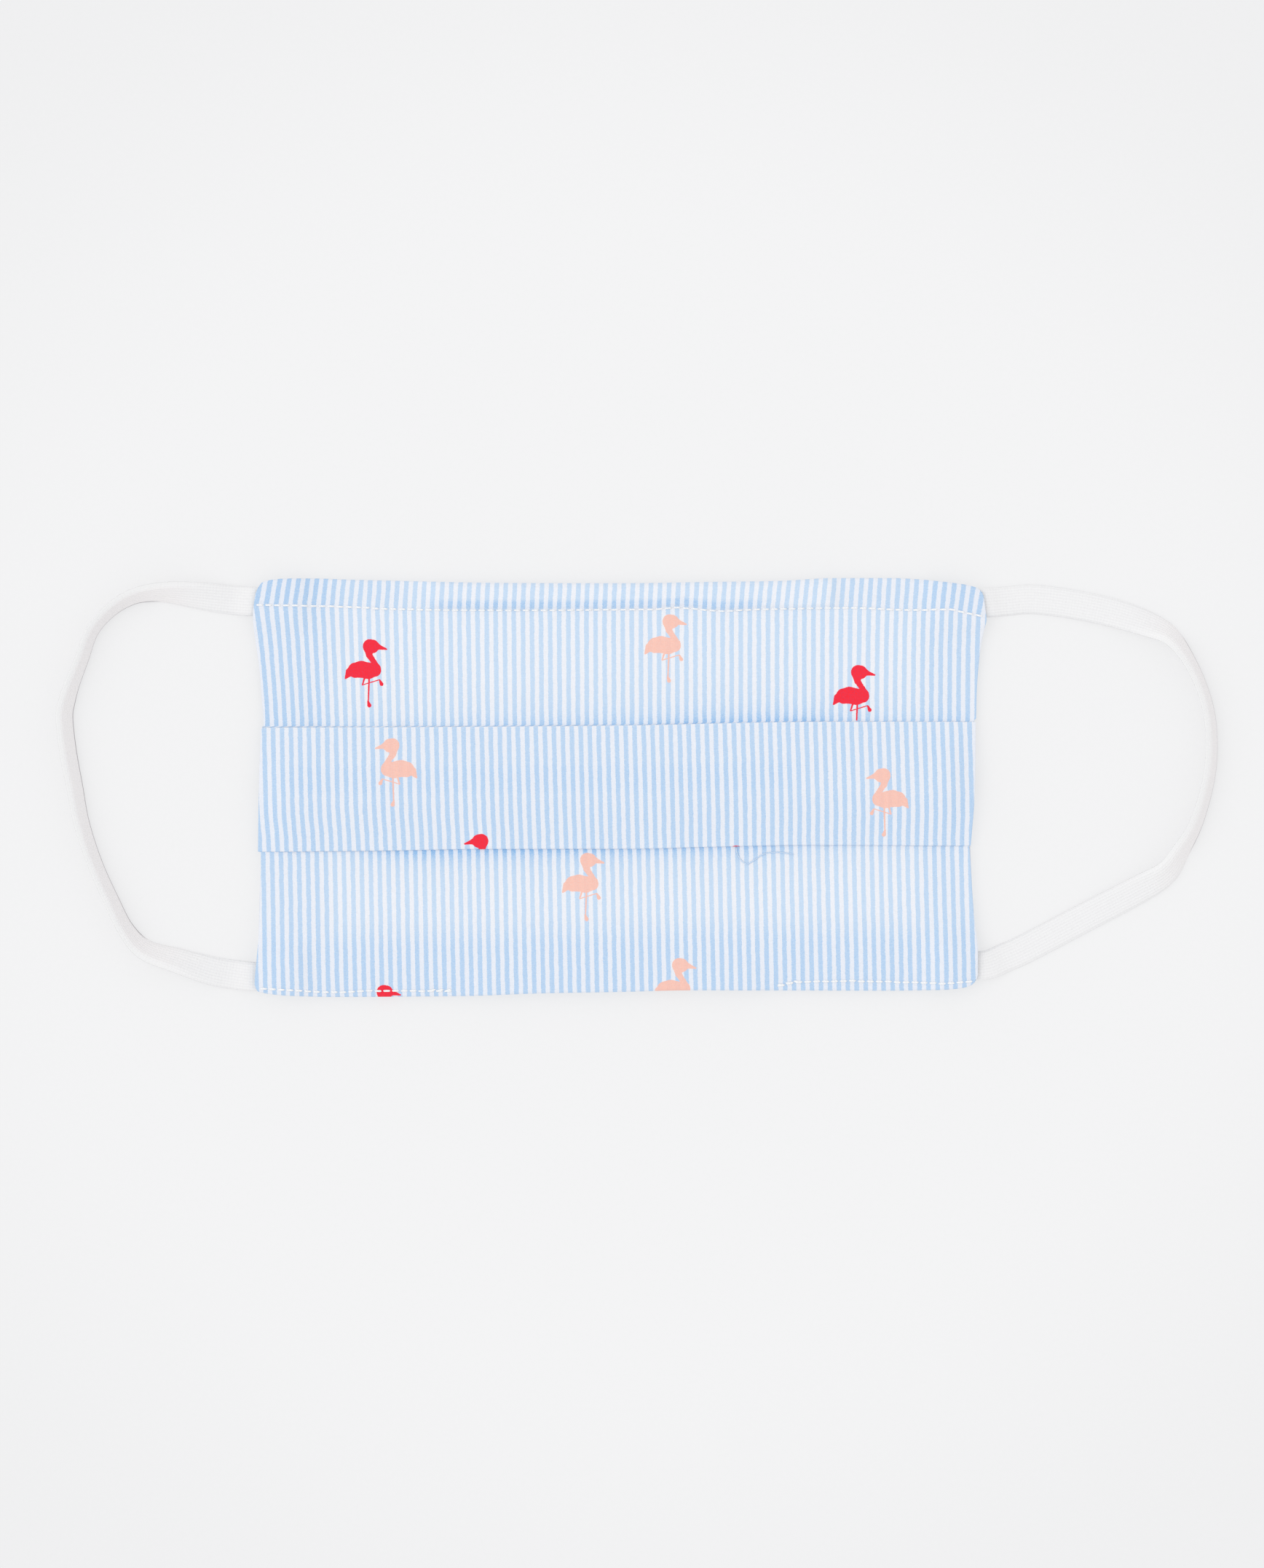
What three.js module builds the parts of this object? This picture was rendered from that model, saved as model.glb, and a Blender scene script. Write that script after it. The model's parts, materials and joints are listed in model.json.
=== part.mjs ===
// A sewn cloth face mask with a box pleat, two elastic ear loops, a filter slot
// and a nose wire. It lies flat: X across the face, Y up the face, Z out of it.
import * as THREE from 'three';

const { clamp, degToRad, lerp: mix } = THREE.MathUtils;

// driving sizes, millimetres
const bodyWidth = 175;        // side seam to side seam
const bodyHeight = 100;       // chin edge to nose edge, pleat closed
const wall = 1.0;             // one ply of cloth
const gap = 0.3;              // air between two plies
const upperTuck = 12.3;       // depth of the pleat hidden under the upper fold
const lowerTuck = 13.7;       // depth of the pleat hidden under the lower fold
const hem = 15;               // cloth turned up inside the chin edge
const casing = 6.5;           // nose edge to the line of stitches below it
const wireLength = 93;
const wireWidth = 4;
const wireThick = 0.9;
const wireShift = 3.5;        // the wire sits a little off the middle
const slotHalf = 38.5;        // half of the open length of the chin edge
const slotDepth = 13;         // how far up the slot's lift reaches
const slotLift = 0.8;         // how far the front stands off at the slot
const slotEase = 9;           // length over which the lift fades at each end
const sag = 0.35;             // dip between the two tucks of the middle panel
const elasticWidth = 7;
const elasticThick = 1.2;
const bevel = 0.3;            // rounding of the elastic's edges
const tuckIn = 8.5;           // elastic sewn in between the plies
const seamRun = 0.8;          // elastic still level this far outside the seam
const clearance = 0.12;       // least height of a leaning band over the table
const reachLeft = 45.5;       // side seam to the middle of the band, far out
const reachRight = 54.4;

// how the cloth comes down from what lies under it
const wireClear = 0.8;        // full height kept past each end of the wire
const wireEase = 2;           // then down over this length
const flankEase = 0.9;        // the same along the wire's sides
const elasticClear = 0.6;     // full height kept beside the elastic
const elasticEase = 3;
const endClear = 1.5;         // full height kept past the elastic's cut end
const endEase = 3.5;

// steps of the mesh, from the elastic's and the casing's sizes
const chinSteps = [elasticWidth / 2, elasticWidth * 1.17, elasticWidth * 1.8, hem];
const noseSteps = [elasticWidth * 1.8, elasticWidth * 1.34, elasticWidth * 1.14, casing,
  casing - flankEase, casing / 2, flankEase, bevel, 0];
const hemSteps = [0.6, 2.2, 3.8];   // past the hem, where the front steps down
const foldStep = 4;                 // from a fold to the next row
const bendSteps = 4;                // rows round a fold
const spanSteps = 2;                // rings from one row of a band to the next
const insideFold = 0.004;           // tucks stay this share inside the side seams
const backInset = 0.4;              // the back ply is this much shorter at both ends

const halfW = bodyWidth / 2;
const halfH = bodyHeight / 2;
const level = [0, 1, 2].map((k) => wall + gap + wall / 2 + k * (wall + gap));

// a table: one name for each column, then its rows
const table = (columns, rows) => rows.map((row) => Object.fromEntries(
  columns.map((column, k) => [column, row[k]])));

// lines across the body: share of the half width, share of the half height
const noseEdge = table(['across', 'height'], [
  [-1, 0.962], [-0.97, 0.988], [-0.92, 1.004], [-0.84, 1.008], [-0.76, 1.001], [-0.6, 0.994],
  [-0.28, 0.984], [0, 0.983], [0.28, 0.99], [0.44, 0.994], [0.6, 1.008], [0.76, 1.008],
  [0.84, 1.001], [0.92, 0.984], [0.97, 0.972], [1, 0.956],
]);
const upperFold = table(['across', 'height'], [
  [-1, 0.298], [-0.5, 0.301], [0, 0.308], [0.58, 0.326], [1, 0.326],
]);
const lowerFold = table(['across', 'height'], [
  [-1, -0.315], [-0.62, -0.308], [-0.38, -0.301], [0.04, -0.3], [0.28, -0.29],
  [0.56, -0.282], [1, -0.286],
]);
const chinEdge = table(['across', 'height'], [
  [-1, -0.984], [-0.97, -0.994], [-0.92, -1.001], [-0.8, -1.008], [-0.44, -1.004],
  [-0.2, -0.99], [0, -0.984], [0.2, -0.976], [0.76, -0.978], [0.84, -0.97],
  [0.92, -0.959], [0.97, -0.95], [1, -0.938],
]);

// side seams: share of the way along the panel, both sides as share of the half width
const noseSides = table(['along', 'left', 'right'], [
  [0, -0.974, 0.98], [0.29, -0.987, 0.984], [0.61, -1, 0.992], [0.8, -1.004, 1.008],
  [0.88, -0.997, 1.008], [0.94, -0.986, 1.003], [0.98, -0.974, 0.993], [1, -0.966, 0.98],
]);
const middleSides = table(['along', 'left', 'right'], [
  [0, -0.99, 0.964], [0.5, -0.987, 0.976], [1, -0.982, 0.98],
]);
const chinSides = table(['along', 'left', 'right'], [
  [0, -0.982, 0.962], [0.49, -0.99, 0.972], [0.77, -1, 0.984], [0.93, -1, 0.982],
  [0.97, -0.994, 0.975], [1, -0.984, 0.966],
]);
const backSides = table(['along', 'left', 'right'], [
  [0, -0.978, 0.958], [0.015, -0.981, 0.961], [0.07, -0.992, 0.974], [0.16, -0.99, 0.972],
  [0.33, -0.985, 0.969], [0.5, -0.98, 0.966], [0.64, -0.978, 0.975], [0.71, -0.981, 1.002],
  [0.8, -0.987, 1.003], [0.87, -0.992, 1.004], [0.95, -0.99, 0.996], [1, -0.976, 0.978],
]);

// sewn ends of the elastic: side, share of the half height
const sewnEnds = table(['side', 'height'], [
  [-1, 0.896], [-1, -0.905], [1, 0.889], [1, -0.85],
]);

// the bands, top seam round to the bottom seam: share of the reach outward,
// share of the half height, lean in degrees (0 flat, 90 on its edge)
const leftBand = table(['out', 'height', 'lean'], [
  [0.1, 0.901, 3], [0.2, 0.91, 12], [0.297, 0.92, 25], [0.473, 0.936, 50],
  [0.604, 0.929, 62], [0.712, 0.896, 68], [0.811, 0.83, 72], [0.892, 0.75, 73],
  [0.943, 0.62, 72], [0.99, 0.48, 66], [1, 0.34, 62], [0.977, 0.182, 62],
  [0.938, 0.007, 62], [0.885, -0.168, 62], [0.82, -0.36, 62], [0.738, -0.536, 62],
  [0.666, -0.676, 60], [0.57, -0.772, 50], [0.396, -0.826, 34], [0.231, -0.874, 14],
  [0.12, -0.894, 4],
]);
const rightBand = table(['out', 'height', 'lean'], [
  [0.1, 0.897, 0], [0.225, 0.906, 0], [0.403, 0.882, 4], [0.57, 0.844, 10],
  [0.724, 0.791, 28], [0.824, 0.735, 48], [0.901, 0.626, 62], [0.965, 0.48, 66],
  [0.994, 0.332, 66], [1, 0.164, 66], [0.982, 0.007, 65], [0.936, -0.168, 62],
  [0.875, -0.301, 52], [0.805, -0.413, 34], [0.676, -0.496, 14], [0.45, -0.623, 4],
  [0.2, -0.765, 0], [0.1, -0.814, 0],
]);

// stations across the body, with some just past the ends of the wire and the elastic
const across = [
  -1, -0.97, -0.93, -0.76, -0.62, -0.44, -0.36, -0.2, 0,
  0.2, 0.36, 0.44, 0.7, 0.78, 0.93, 0.97, 1,
];
for (const side of [-1, 1]) {
  for (const past of [wireClear / 2, wireClear + wireEase + bevel]) {
    across.push((wireShift + side * (wireLength / 2 + past)) / halfW);
  }
  for (const past of [endClear - bevel, endClear + endEase]) {
    across.push(side * (1 - (tuckIn + past) / halfW));
  }
}
across.sort((a, b) => a - b);

const soft = (t) => {
  const k = clamp(t, 0, 1);
  return k * k * (3 - 2 * k);
};

function lookUp(rows, key, at, column) {
  let k = 0;
  while (k < rows.length - 2 && at > rows[k + 1][key]) k += 1;
  const [a, b] = [rows[k], rows[k + 1]];
  return mix(a[column], b[column], clamp((at - a[key]) / (b[key] - a[key]), 0, 1));
}

// the four lines that a cross section hangs on
function linesAt(u) {
  const height = (line) => lookUp(line, 'across', u, 'height') * halfH;
  return {
    nose: height(noseEdge), upper: height(upperFold), lower: height(lowerFold),
    chin: height(chinEdge),
  };
}

// cloth stands higher over the wire, over the sewn elastic and at the open slot
function liftAt(x, y, line) {
  const pastWire = Math.abs(x - wireShift) - wireLength / 2;
  const overWire = soft((wireClear + wireEase - pastWire) / wireEase)
    * soft((y - line.nose + casing) / flankEase) * soft((line.nose - y) / flankEase);
  let overElastic = 0;
  for (const end of sewnEnds) {
    const inside = halfW - end.side * x;
    const off = y - end.height * halfH;
    const beside = Math.abs(off) - elasticWidth / 2;
    const outward = off * end.height > 0;
    const along = soft((tuckIn + endClear + endEase - inside) / endEase);
    const aside = outward ? 1 : soft((elasticClear + elasticEase - beside) / elasticEase);
    overElastic = Math.max(overElastic, along * aside);
  }
  const atSlot = soft((slotHalf - Math.abs(x)) / slotEase)
    * soft((line.chin + slotDepth - y) / slotDepth);
  return overWire * (wireThick + gap) + overElastic * (elasticThick + gap)
    + atSlot * slotLift;
}

// centre line of the front ply in one cross section, chin hem to nose edge
function frontRows(line) {
  const bend = (wall + gap) / 2;
  const edge = bend + wall / 2;
  const rows = [];
  const flat = (panel, y, z) => rows.push({ panel, y, z });
  const turn = (panel, y, from, to, way) => {
    for (let k = 0; k <= bendSteps; k += 1) {
      const a = (Math.PI * k) / bendSteps;
      const rise = (1 - Math.cos(a)) / 2;
      flat(panel, y + way * bend * Math.sin(a), mix(level[from], level[to], rise));
    }
  };
  for (const step of chinSteps.toReversed()) flat('chin', line.chin + step, level[0]);
  turn('chin', line.chin + edge, 0, 1, -1);
  for (const step of chinSteps.slice(0, -1)) flat('chin', line.chin + step, level[1]);
  hemSteps.forEach((step, k) => {
    const down = k / (hemSteps.length - 1);
    flat('chin', line.chin + hem + step, mix(level[1], level[0], down));
  });
  flat('chin', line.lower, level[0]);
  turn('tuck', line.lower + lowerTuck - edge, 0, 1, 1);
  turn('tuck', line.lower + edge, 1, 2, -1);
  const lowerEnd = line.lower + lowerTuck;
  const upperEnd = line.upper - upperTuck;
  flat('middle', line.lower + foldStep, level[2]);
  flat('middle', lowerEnd - wall, level[2]);
  flat('middle', (lowerEnd + upperEnd) / 2, level[2] - sag);
  flat('middle', upperEnd + wall, level[2]);
  flat('middle', line.upper - foldStep, level[2]);
  turn('tuck', line.upper - edge, 2, 1, 1);
  turn('tuck', upperEnd + edge, 1, 0, -1);
  flat('nose', line.upper, level[0]);
  flat('nose', line.upper + 2 * foldStep, level[0]);
  for (const step of noseSteps) flat('nose', line.nose - step, level[0]);
  return rows;
}

function backRows(line) {
  return backSides.map(({ along }) => ({
    panel: 'back', y: mix(line.chin + backInset, line.nose - backInset, along), z: wall / 2, along,
  }));
}

function wireRows(line) {
  const middle = line.nose - (casing - bevel) / 2;
  return [-0.5, 0.5].map((share) => ({
    panel: 'wire', y: middle + share * wireWidth, z: wall + gap + wireThick / 2,
  }));
}

// both side seams at a row, as shares of the half width
function sidesOf(row, line) {
  const both = (rows, along, inset = 0) => [
    lookUp(rows, 'along', along, 'left') + inset, lookUp(rows, 'along', along, 'right') - inset,
  ];
  if (row.panel === 'back') return both(backSides, row.along);
  if (row.panel === 'wire') return [-1, 1];
  if (row.panel === 'chin') return both(chinSides, (line.lower - row.y) / (line.lower - line.chin));
  if (row.panel === 'nose') return both(noseSides, (row.y - line.upper) / (line.nose - line.upper));
  const along = (row.y - line.lower) / (line.upper - line.lower);
  return both(middleSides, along, row.panel === 'tuck' ? insideFold : 0);
}

// a closed sheet: rows along the cross section, stations across the body
function sheet(rowsOf, thick, stations, lifted) {
  const points = [];
  const at = stations.map((u) => {
    const line = linesAt(u);
    const centre = rowsOf(line).map((row) => {
      const [left, right] = sidesOf(row, line);
      const x = mix(left, right, (u + 1) / 2) * halfW;
      const lift = lifted && row.panel !== 'tuck' ? liftAt(x, row.y, line) : 0;
      return new THREE.Vector3(x, row.y, row.z + lift);
    });
    return centre.map((here, k) => {
      const before = centre[Math.max(0, k - 1)];
      const after = centre[Math.min(centre.length - 1, k + 1)];
      const way = new THREE.Vector2(after.y - before.y, after.z - before.z).normalize();
      const step = new THREE.Vector3(0, -way.y, way.x).multiplyScalar(thick / 2);
      const over = points.push(here.clone().add(step)) - 1;
      const under = points.push(here.clone().sub(step)) - 1;
      return [over, under];
    });
  });
  const faces = [];
  const quad = (a, b, c, d) => faces.push(a, b, c, a, c, d);
  const n = at[0].length - 1;
  const m = at.length - 1;
  for (let j = 0; j < m; j += 1) {
    for (let k = 0; k < n; k += 1) {
      quad(at[j][k][0], at[j + 1][k][0], at[j + 1][k + 1][0], at[j][k + 1][0]);
      quad(at[j][k][1], at[j][k + 1][1], at[j + 1][k + 1][1], at[j + 1][k][1]);
    }
    quad(at[j][0][1], at[j + 1][0][1], at[j + 1][0][0], at[j][0][0]);
    quad(at[j][n][0], at[j + 1][n][0], at[j + 1][n][1], at[j][n][1]);
  }
  for (let k = 0; k < n; k += 1) {
    quad(at[0][k][0], at[0][k + 1][0], at[0][k + 1][1], at[0][k][1]);
    quad(at[m][k][1], at[m][k + 1][1], at[m][k + 1][0], at[m][k][0]);
  }
  return closed(points, faces);
}

function closed(points, faces) {
  const shape = new THREE.BufferGeometry().setFromPoints(points);
  shape.setIndex(faces);
  shape.computeVertexNormals();
  return shape;
}

// where a band's middle line runs: sewn in, round through its table, sewn in
function bandRows(side, reach, rows, topEnd, lowEnd) {
  const sewn = (end, inset) => ({
    x: side * (halfW - inset), y: end.height * halfH,
    z: wall + gap + elasticThick / 2, lean: 0,
  });
  const insets = [tuckIn, tuckIn / 2, -seamRun];
  const free = rows.map(({ out, height, lean: degrees }) => {
    const lean = degToRad(degrees);
    const rest = (elasticWidth * Math.sin(lean) + elasticThick * Math.cos(lean)) / 2;
    return { x: side * (halfW + out * reach), y: height * halfH, z: rest + clearance, lean };
  });
  return [
    ...insets.map((inset) => sewn(topEnd, inset)), ...free,
    ...insets.toReversed().map((inset) => sewn(lowEnd, inset)),
  ];
}

// the elastic's section is swept along the rows and leans with them
function band(rows) {
  const route = new THREE.CatmullRomCurve3(
    rows.map((row) => new THREE.Vector3(row.x, row.y, row.z)), false, 'centripetal');
  const [w, t] = [elasticWidth / 2, elasticThick / 2];
  const section = [
    [w, -t / 2], [w, t / 2], [w - bevel, t], [-w + bevel, t], [-w, t / 2], [-w, -t / 2],
    [-w + bevel, -t], [w - bevel, -t],
  ];
  const points = [];
  const faces = [];
  const steps = (rows.length - 1) * spanSteps;
  const up = new THREE.Vector3(0, 0, 1);
  for (let j = 0; j <= steps; j += 1) {
    const k = Math.min(rows.length - 2, Math.floor(j / spanSteps));
    const lean = mix(rows[k].lean, rows[k + 1].lean, j / spanSteps - k);
    const here = route.getPoint(j / steps);
    const ahead = route.getTangent(j / steps).setZ(0).normalize();
    const out = new THREE.Vector3().crossVectors(ahead, up).normalize();
    const wide = out.clone().multiplyScalar(Math.cos(lean)).addScaledVector(up, Math.sin(lean));
    const thick = up.clone().multiplyScalar(Math.cos(lean)).addScaledVector(out, -Math.sin(lean));
    for (const [a, b] of section) {
      points.push(here.clone().addScaledVector(wide, a).addScaledVector(thick, b));
    }
  }
  const count = section.length;
  for (let j = 0; j < steps; j += 1) {
    for (let k = 0; k < count; k += 1) {
      const [a, b] = [j * count + k, j * count + ((k + 1) % count)];
      faces.push(a, a + count, b + count, a, b + count, b);
    }
  }
  for (let k = 1; k < count - 1; k += 1) {
    faces.push(0, k, k + 1);
    faces.push(steps * count, steps * count + k + 1, steps * count + k);
  }
  return closed(points, faces);
}

const mask = new THREE.Group();
mask.name = 'cloth_face_mask';
function add(name, shape, color, roughness) {
  const mesh = new THREE.Mesh(shape, new THREE.MeshStandardMaterial({ color, roughness }));
  mesh.name = name;
  mask.add(mesh);
}

add('front_cloth', sheet(frontRows, wall, across, true), 0xd3e2f3, 0.92);
add('back_cloth', sheet(backRows, wall, across, false), 0xdbe5f1, 0.92);

const wireEnds = [-1, 1].map((side) => (wireShift + (side * wireLength) / 2) / halfW);
const alongWire = [
  wireEnds[0], ...across.filter((u) => u > wireEnds[0] && u < wireEnds[1]), wireEnds[1],
];
add('nose_wire', sheet(wireRows, wireThick, alongWire, false), 0xe4e5e6, 0.5);

const leftRows = bandRows(-1, reachLeft, leftBand, sewnEnds[0], sewnEnds[1]);
const rightRows = bandRows(1, reachRight, rightBand, sewnEnds[2], sewnEnds[3]);
add('ear_loop_left', band(leftRows), 0xf2f2f0, 0.85);
add('ear_loop_right', band(rightRows), 0xf2f2f0, 0.85);

export default mask;
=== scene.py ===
import json
import math

import bpy
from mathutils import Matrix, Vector, noise
from mathutils.bvhtree import BVHTree

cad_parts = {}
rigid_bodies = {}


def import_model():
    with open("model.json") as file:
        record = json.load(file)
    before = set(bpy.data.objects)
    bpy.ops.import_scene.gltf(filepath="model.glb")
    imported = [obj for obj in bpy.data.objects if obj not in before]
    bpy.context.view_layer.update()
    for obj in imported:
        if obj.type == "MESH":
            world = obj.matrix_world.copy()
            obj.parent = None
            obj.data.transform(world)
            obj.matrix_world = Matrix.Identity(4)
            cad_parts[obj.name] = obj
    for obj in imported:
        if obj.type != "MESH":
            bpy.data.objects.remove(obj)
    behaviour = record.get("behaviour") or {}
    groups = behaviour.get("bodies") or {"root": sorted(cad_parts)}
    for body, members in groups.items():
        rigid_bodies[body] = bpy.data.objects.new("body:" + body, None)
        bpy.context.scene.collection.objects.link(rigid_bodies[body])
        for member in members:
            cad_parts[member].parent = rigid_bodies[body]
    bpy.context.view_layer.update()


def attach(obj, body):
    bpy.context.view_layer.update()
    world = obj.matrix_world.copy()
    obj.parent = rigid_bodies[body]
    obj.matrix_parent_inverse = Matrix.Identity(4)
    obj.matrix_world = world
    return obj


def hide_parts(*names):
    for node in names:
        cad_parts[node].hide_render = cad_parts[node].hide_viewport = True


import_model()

# A pleated cloth face mask, lying on a pale floor and seen from straight above.
# Lengths here are millimetres until a mesh is made: X across, Y up the face, Z up.
MM = 0.001

# sizes shared with the construction
BODY_WIDTH = 175.0
BODY_HEIGHT = 100.0
WALL = 1.0
GAP = 0.3
UPPER_TUCK = 12.3
LOWER_TUCK = 13.7
HEM = 15.0
WIRE_LENGTH = 93.0
WIRE_SHIFT = 3.5
WIRE_THICK = 0.9
SLOT_HALF = 38.5
SLOT_LIFT = 0.8
ELASTIC_WIDTH = 7.0
ELASTIC_THICK = 1.2
TUCK_IN = 8.5
CLEARANCE = 0.12
REACH_LEFT = 45.5
REACH_RIGHT = 54.4

HALF_W = BODY_WIDTH / 2
HALF_H = BODY_HEIGHT / 2
PLY = 0.86                     # thickness of a ply as it is drawn
MOST_DEPTH = 2.6               # depth of colour where it is deepest, in the painted shade next to a fold
LEVEL = [WALL + GAP + WALL / 2 + k * (WALL + GAP) for k in range(3)]
BEND = (WALL + GAP) / 2        # centre line radius of a fold
EDGE = BEND + WALL / 2         # fold's outermost line to the middle of its bend

# the photograph: one pixel, the pixel over the origin, and its frame
PIXEL = 0.175
ORIGIN_PIXEL = (850, 1082)
FRAME_PIXELS = (1736, 2153)


def place(px, py):
    """Millimetres in the mask's frame of a place given in the photograph's pixels."""
    return (px - ORIGIN_PIXEL[0]) * PIXEL, (ORIGIN_PIXEL[1] - py) * PIXEL


# lines across the body: share of the half width, then share of the half height
NOSE_EDGE = [
    (-1, 0.966), (-0.988, 0.99), (-0.97, 0.999), (-0.93, 1.005), (-0.84, 1.006), (-0.76, 1.001),
    (-0.6, 0.994),
    (-0.28, 0.984), (0, 0.983), (0.28, 0.99), (0.44, 0.994), (0.6, 1.008),
    (0.76, 1.008), (0.84, 1.001), (0.92, 0.986), (0.97, 0.976), (1, 0.962),
]
NOSE_SEAM = [
    (-1, 0.878), (-0.89, 0.875), (-0.73, 0.868), (-0.62, 0.858), (-0.3, 0.853), (0.09, 0.858),
    (0.16, 0.866), (0.28, 0.85), (0.39, 0.858), (0.63, 0.864), (0.81, 0.854), (0.9, 0.856),
    (0.95, 0.84), (1, 0.822),
]
UPPER_FOLD = [(-1, 0.298), (-0.5, 0.301), (0, 0.308), (0.58, 0.326), (1, 0.326)]
LOWER_FOLD = [
    (-1, -0.315), (-0.62, -0.308), (-0.38, -0.301), (0.04, -0.3), (0.28, -0.29),
    (0.56, -0.282), (1, -0.286),
]
CHIN_SEAM = [
    (-1, -0.96), (-0.91, -0.968), (-0.78, -0.98), (-0.68, -0.973), (-0.45, -0.973), (0, -0.955),
    (0.43, -0.95), (0.49, -0.931), (0.63, -0.926), (0.77, -0.931), (0.88, -0.936), (1, -0.922),
]
CHIN_EDGE = [
    (-1, -0.984), (-0.97, -0.994), (-0.92, -1.001), (-0.8, -1.008), (-0.44, -1.004), (-0.2, -0.99),
    (0, -0.984), (0.2, -0.976), (0.76, -0.978), (0.9, -0.974), (0.955, -0.968), (0.985, -0.957),
    (1, -0.938),
]

# side seams: share of the way up or down the panel, left and right (of the half width)
NOSE_SIDES = [
    (0, -0.974, 0.98), (0.22, -0.98, 0.982), (0.41, -0.986, 0.987), (0.56, -0.994, 0.994),
    (0.67, -1.0, 1.001), (0.76, -1.003, 1.008), (0.81, -1.003, 1.006), (0.88, -1.0, 1.003),
    (0.94, -0.997, 0.999), (0.98, -0.991, 0.99), (1, -0.987, 0.98),
]
MIDDLE_SIDES = [(0, -0.99, 0.965), (0.5, -0.987, 0.977), (1, -0.982, 0.979)]
CHIN_SIDES = [
    (0, -0.982, 0.962), (0.49, -0.986, 0.974), (0.77, -0.993, 0.984), (0.93, -0.998, 0.984),
    (0.97, -0.994, 0.98), (1, -0.984, 0.972),
]
BACK_SIDES = [
    (0, -0.978, 0.958), (0.07, -0.99, 0.974), (0.5, -0.976, 0.962), (0.64, -0.97, 0.966),
    (0.71, -0.97, 0.97), (0.8, -0.978, 0.976), (0.87, -0.988, 0.986), (0.95, -0.988, 0.99),
    (1, -0.975, 0.974),
]

# sewn ends of the elastic: side, share of the half height
SEWN_ENDS = [(-1, 0.896), (-1, -0.905), (1, 0.889), (1, -0.85)]


def mix(a, b, t):
    return a + (b - a) * t


def soft(t):
    k = min(1.0, max(0.0, t))
    return k * k * (3 - 2 * k)


def hump(at, middle, width):
    """1 in the middle, falling to nothing on both sides."""
    return math.exp(-(((at - middle) / width) ** 2))


def window(at, low, high, ease):
    """1 between two places, falling softly to 0 outside them."""
    return soft((at - low) / ease + 0.5) * soft((high - at) / ease + 0.5)


def look_up(table, at, column=1):
    """Smooth value of a table column at a place, through every row."""
    row = 0
    while row < len(table) - 2 and at > table[row + 1][0]:
        row += 1
    near = [table[min(len(table) - 1, max(0, row + k))] for k in (-1, 0, 1, 2)]

    def slope(a, b):
        return (b[column] - a[column]) / (b[0] - a[0]) if b[0] != a[0] else 0.0

    inner = slope(near[1], near[2])
    before = slope(near[0], near[1]) if near[0] is not near[1] else inner
    after = slope(near[2], near[3]) if near[3] is not near[2] else inner
    start = 0.0 if before * inner <= 0 else 2 * before * inner / (before + inner)
    end = 0.0 if inner * after <= 0 else 2 * inner * after / (inner + after)
    width = near[2][0] - near[1][0]
    t = min(1.0, max(0.0, (at - near[1][0]) / width))
    low, high = near[1][column], near[2][column]
    return (
        (2 * t**3 - 3 * t**2 + 1) * low + (t**3 - 2 * t**2 + t) * width * start
        + (3 * t**2 - 2 * t**3) * high + (t**3 - t**2) * width * end
    )


LINES = {
    "nose": NOSE_EDGE, "seam": NOSE_SEAM, "upper": UPPER_FOLD,
    "lower": LOWER_FOLD, "chin_seam": CHIN_SEAM, "chin": CHIN_EDGE,
}


def lines_at(u):
    """Height up the face of each line across the body, at a share of the half width."""
    return {name: look_up(table, u) * HALF_H for name, table in LINES.items()}


def bump_noise(x, y, size, seed=0.0):
    return noise.noise(Vector((x / size, y / size, seed)))


# millimetres in which the outer cloth comes down beside what it covers
WIRE_END_SLOPE = 3
CASING_SLOPE = 1.0
ELASTIC_SLOPE = 5.4
ELASTIC_END_SLOPE = 6
SLOT_END_SLOPE = 9
SLOT_SLOPE = 13


def wire_swelling(x, y, line):
    along = soft((WIRE_LENGTH / 2 + 3.4 - abs(x - WIRE_SHIFT)) / WIRE_END_SLOPE)
    above_seam = soft((y - line["seam"] - 0.1) / (0.95 * CASING_SLOPE))
    below_edge = soft((line["nose"] - y - 0.1) / CASING_SLOPE)
    return WIRE_THICK * along * above_seam * below_edge


def elastic_swelling(x, y):
    share = 0.0
    for side, height in SEWN_ENDS:
        inside = HALF_W - side * x
        off = abs(y - height * HALF_H) - ELASTIC_WIDTH / 2
        outward = (y - height * HALF_H) * height > 0
        along = soft((TUCK_IN + 7 - inside) / ELASTIC_END_SLOPE)
        share = max(share, along * (1 if outward else soft((5.8 - off) / ELASTIC_SLOPE)))
    return share * (ELASTIC_THICK + 0.1)


def slot_swelling(x, y, line):
    along = soft((SLOT_HALF - abs(x)) / SLOT_END_SLOPE)
    return SLOT_LIFT * along * soft((line["chin"] + SLOT_SLOPE - y) / SLOT_SLOPE)


def lift_at(x, y, line):
    """How far the outer cloth stands above its level, over what lies under it."""
    return wire_swelling(x, y, line) + elastic_swelling(x, y) + slot_swelling(x, y, line)


# share by which the stack is pressed flat, and the distance in which that eases
FOLD_PRESS = 0.79
FOLD_PRESS_REACH = 9
CHIN_PRESS = 0.5
CHIN_PRESS_REACH = 4
SIDE_PRESS = 0.5
SIDE_PRESS_REACH = 7.5


def pressed_at(y, line):
    """The folds and the turned-up edge are ironed: share by which the stack is squeezed."""
    shares = [CHIN_PRESS * hump(y, line["chin"], CHIN_PRESS_REACH)]
    shares += [FOLD_PRESS * hump(y, line[fold], FOLD_PRESS_REACH) for fold in ("upper", "lower")]
    return max(shares)


# depth and half width of the groove under a line of stitches
NOSE_GROOVE = (0.07, 0.45)
CHIN_GROOVE = (0.06, 0.4)


def sewn_groove(x, y, line):
    """The cloth is drawn down a little under each line of stitches."""
    deep, wide = NOSE_GROOVE
    depth = deep * hump(y, line["seam"], wide)
    if abs(x) > SLOT_HALF - 2:
        deep, wide = CHIN_GROOVE
        depth += deep * hump(y, line["chin_seam"], wide)
    return depth


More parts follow.
